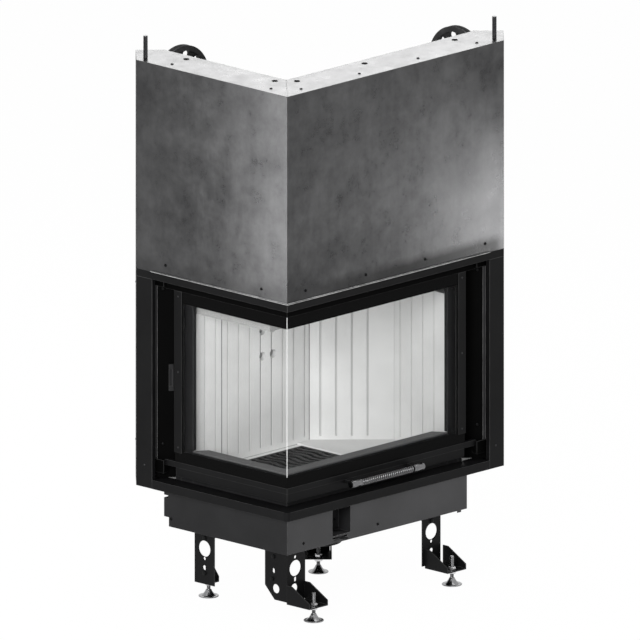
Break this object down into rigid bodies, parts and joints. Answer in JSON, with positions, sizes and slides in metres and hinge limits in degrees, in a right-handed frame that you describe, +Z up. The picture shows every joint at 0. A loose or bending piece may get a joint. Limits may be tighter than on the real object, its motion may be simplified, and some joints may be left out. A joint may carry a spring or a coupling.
{
  "type": "corner fireplace insert",
  "caption": "Corner fireplace insert with an L-shaped lift-up glass door on cables and counterweights, a lined firebox, a steel hood casing, an air box and levelling feet.",
  "frame": {"origin": "centre of the bounding box's underside, on the floor", "axes": "+Z up; X runs along the front, with the glass corner at -X; Y runs back along the side, with the front face at -Y"},
  "size_m": [0.867, 0.673, 1.435],
  "materials": {
    "raw_steel": "mill-finish sheet with faint mottling",
    "black_enamel": "satin heatproof paint",
    "grey_enamel": "matt heatproof paint",
    "bright_steel": "zinc plated",
    "cast": "cast and oiled",
    "fire_brick": "matt light lining",
    "door_glass": "clear glass ceramic with printed black edges",
    "rope_seal": "woven glass rope",
    "edge_bead": "pale translucent bead"
  },
  "bodies": {
    "stove": {"casing_side": "raw_steel", "casing_front": "raw_steel", "portal_post_side": "black_enamel", "portal_post_front": "black_enamel", "portal_sill": "black_enamel", "portal_strip": "black_enamel", "end_walls": "black_enamel", "end_columns": "black_enamel", "leg_corner": "black_enamel", "leg_front_right": "black_enamel", "leg_rear_left": "black_enamel", "leg_rear_right": "black_enamel", "foot_brackets": "black_enamel", "dark_screws": "black_enamel", "leg_bolts": "black_enamel", "base_plate": "black_enamel", "weight_guides": "black_enamel", "air_box": "grey_enamel", "air_collar": "grey_enamel", "firebox_shell": "grey_enamel", "firebox_hood": "grey_enamel", "firebox_roof": "grey_enamel", "flue_collar": "grey_enamel", "frame_post_side": "grey_enamel", "frame_post_front": "grey_enamel", "frame_bottom_rail": "grey_enamel", "door_catch": "grey_enamel", "wheel_mounts": "grey_enamel", "levelling_feet": "bright_steel", "hex_nuts": "bright_steel", "cables_door": "bright_steel", "cables_weight": "bright_steel", "guide_strips": "bright_steel", "hanger_rods": "bright_steel", "threshold": "fire_brick", "lining_back_left": "fire_brick", "lining_back": "fire_brick", "lining_diagonal": "fire_brick", "lining_right": "fire_brick", "floor_slabs": "fire_brick", "baffle": "fire_brick"},
    "door": {"door_rail": "black_enamel", "door_top_rail": "black_enamel", "door_stiles": "black_enamel", "glass_front": "door_glass", "glass_side": "door_glass", "glass_corner_bead": "edge_bead", "gaskets": "rope_seal", "handle_brackets": "black_enamel", "handle_bar": "bright_steel", "handle_sleeves": "bright_steel", "handle_coil": "bright_steel", "door_carriages": "grey_enamel", "stile_screws": "black_enamel"},
    "air_lever": {"air_lever": "black_enamel"},
    "grate": {"grate": "cast"},
    "weight_side": {"weight_side": "cast"},
    "weight_front": {"weight_front": "cast"},
    "wheel_side": {"wheel_side": "cast"},
    "wheel_front": {"wheel_front": "cast"}
  },
  "joints": [
    {"name": "door_lift", "type": "slide", "parent": "stove", "child": "door", "axis": [0, 0, 1], "range_m": [0, 0.47], "deforming": ["cables_door"]},
    {"name": "weight_side_drop", "type": "slide", "parent": "stove", "child": "weight_side", "axis": [0, 0, -1], "range_m": [0, 0.47], "deforming": ["cables_weight"]},
    {"name": "weight_front_drop", "type": "slide", "parent": "stove", "child": "weight_front", "axis": [0, 0, -1], "range_m": [0, 0.47]},
    {"name": "wheel_side_turn", "type": "hinge", "parent": "stove", "child": "wheel_side", "pos_m": [-0.2645, 0.2655, 1.29], "axis": [0, 1, 0], "range_deg": [0, 306.51]},
    {"name": "wheel_front_turn", "type": "hinge", "parent": "stove", "child": "wheel_front", "pos_m": [0.3625, -0.1065, 1.29], "axis": [-1, 0, 0], "range_deg": [0, 306.51]},
    {"name": "air_lever_slide", "type": "slide", "parent": "stove", "child": "air_lever", "axis": [1, 0, 0], "range_m": [-0.018, 0.018]},
    {"name": "grate_lift_out", "type": "slide", "parent": "stove", "child": "grate", "axis": [0, 0, 1], "range_m": [0, 0.06]}
  ],
  "couplings": [
    {"joint": "weight_side_drop", "follows": "door_lift", "ratio": 1},
    {"joint": "weight_front_drop", "follows": "door_lift", "ratio": 1},
    {"joint": "wheel_side_turn", "follows": "door_lift", "rad_per_m": 11.364},
    {"joint": "wheel_front_turn", "follows": "door_lift", "rad_per_m": 11.364}
  ]
}
